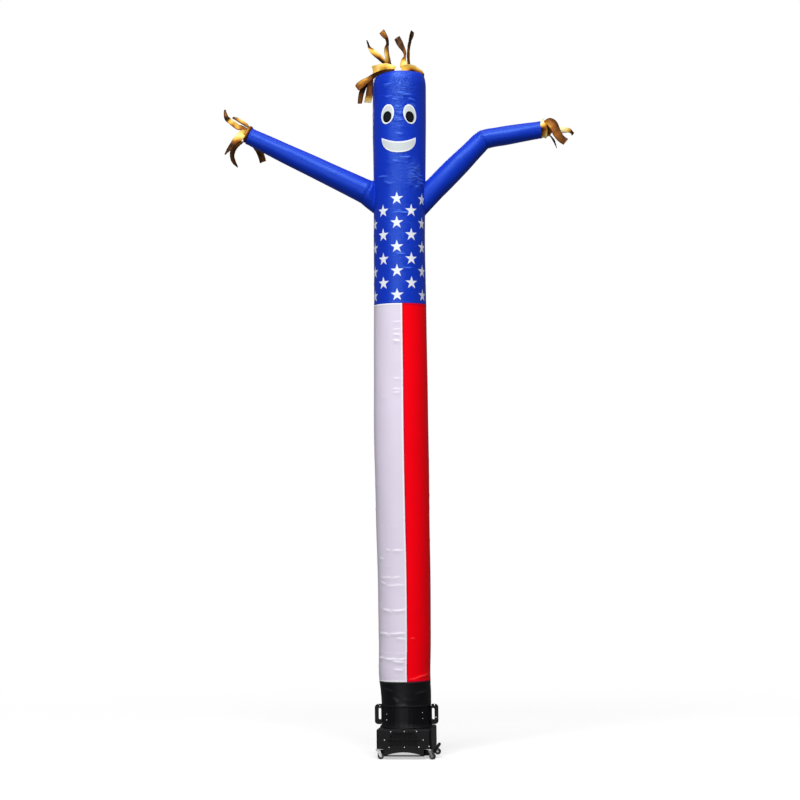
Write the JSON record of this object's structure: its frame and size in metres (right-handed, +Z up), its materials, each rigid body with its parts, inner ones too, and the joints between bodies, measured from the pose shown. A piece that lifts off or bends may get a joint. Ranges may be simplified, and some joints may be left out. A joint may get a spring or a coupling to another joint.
{
  "type": "inflatable air dancer on its blower",
  "caption": "Inflatable air dancer, blue with white stars, red and white stripes, two arms and gold ribbons, standing on its wheeled blower",
  "frame": {"origin": "on the floor, under the middle of the tube", "axes": "+Z up along the tube, the face looks along -Y, the arms reach out along X"},
  "size_m": [3.1028, 0.5246, 6.4296],
  "materials": {
    "blue_cloth": "smooth coated nylon, slightly glossy",
    "white_cloth": "smooth coated nylon",
    "red_cloth": "smooth coated nylon",
    "black_cloth": "coated nylon",
    "face_white": "sewn-on nylon",
    "face_black": "sewn-on nylon",
    "gold_satin": "shiny satin ribbon",
    "moulded_black": "moulded, fine grain",
    "zinc": "zinc plated",
    "wheel_rubber": "matt"
  },
  "bodies": {
    "blower_and_dancer": {"blue_tube": "blue_cloth", "crown_panel": "blue_cloth", "white_panel_1": "white_cloth", "white_panel_2": "white_cloth", "red_panel_1": "red_cloth", "red_panel_2": "red_cloth", "base_sleeve": "black_cloth", "left_arm_root": "blue_cloth", "left_arm": "blue_cloth", "right_arm": "blue_cloth", "right_forearm": "blue_cloth", "left_hand_panel": "blue_cloth", "right_hand_panel": "blue_cloth", "left_eye_white": "face_white", "right_eye_white": "face_white", "mouth": "face_white", "left_pupil": "face_black", "right_pupil": "face_black", "hair_ribbon_left_high": "gold_satin", "hair_ribbon_middle": "gold_satin", "hair_ribbon_right": "gold_satin", "hair_ribbon_right_high": "gold_satin", "hair_ribbon_front_band": "gold_satin", "hair_ribbon_left_flag": "gold_satin", "hair_ribbon_left_drop": "gold_satin", "hair_ribbon_left_hang": "gold_satin", "hair_ribbon_right_band": "gold_satin", "left_ribbon_high": "gold_satin", "left_ribbon_loop": "gold_satin", "left_ribbon_fold": "gold_satin", "left_ribbon_long": "gold_satin", "left_ribbon_behind": "gold_satin", "left_ribbon_knot": "gold_satin", "right_ribbon_broad": "gold_satin", "right_ribbon_pale": "gold_satin", "right_ribbon_thin": "gold_satin", "right_ribbon_knot": "gold_satin", "right_ribbon_tuft": "gold_satin", "housing": "moulded_black", "base_rail": "moulded_black", "duct": "moulded_black", "left_handle": "moulded_black", "right_handle": "moulded_black", "front_guard": "moulded_black", "rear_guard": "moulded_black", "side_cleat": "moulded_black", "caster_front_left_plate": "zinc", "caster_front_right_plate": "zinc", "caster_rear_left_plate": "zinc", "caster_rear_right_plate": "zinc"},
    "fork_front_left": {"caster_front_left_fork": "zinc"},
    "wheel_front_left": {"caster_front_left_wheel": "wheel_rubber"},
    "fork_front_right": {"caster_front_right_fork": "zinc"},
    "wheel_front_right": {"caster_front_right_wheel": "wheel_rubber"},
    "fork_rear_left": {"caster_rear_left_fork": "zinc"},
    "wheel_rear_left": {"caster_rear_left_wheel": "wheel_rubber"},
    "fork_rear_right": {"caster_rear_right_fork": "zinc"},
    "wheel_rear_right": {"caster_rear_right_wheel": "wheel_rubber"}
  },
  "joints": [
    {"name": "swivel_front_left", "type": "hinge", "parent": "blower_and_dancer", "child": "fork_front_left", "pos_m": [-0.25029, -0.17581, 0.082], "axis": [0, 0, 1], "continuous": true},
    {"name": "roll_front_left", "type": "hinge", "parent": "fork_front_left", "child": "wheel_front_left", "pos_m": [-0.22829, -0.17581, 0.027], "axis": [0, 1, 0], "continuous": true},
    {"name": "swivel_front_right", "type": "hinge", "parent": "blower_and_dancer", "child": "fork_front_right", "pos_m": [0.20032, -0.23114, 0.082], "axis": [0, 0, 1], "continuous": true},
    {"name": "roll_front_right", "type": "hinge", "parent": "fork_front_right", "child": "wheel_front_right", "pos_m": [0.21918, -0.24247, 0.027], "axis": [0.515, 0.8572, 0], "continuous": true},
    {"name": "swivel_rear_left", "type": "hinge", "parent": "blower_and_dancer", "child": "fork_rear_left", "pos_m": [-0.20032, 0.23114, 0.082], "axis": [0, 0, 1], "continuous": true},
    {"name": "roll_rear_left", "type": "hinge", "parent": "fork_rear_left", "child": "wheel_rear_left", "pos_m": [-0.1786, 0.23458, 0.027], "axis": [-0.1564, 0.9877, 0], "continuous": true},
    {"name": "swivel_rear_right", "type": "hinge", "parent": "blower_and_dancer", "child": "fork_rear_right", "pos_m": [0.25029, 0.17581, 0.082], "axis": [0, 0, 1], "continuous": true},
    {"name": "roll_rear_right", "type": "hinge", "parent": "fork_rear_right", "child": "wheel_rear_right", "pos_m": [0.27196, 0.17199, 0.027], "axis": [0.1736, 0.9848, 0], "continuous": true}
  ]
}
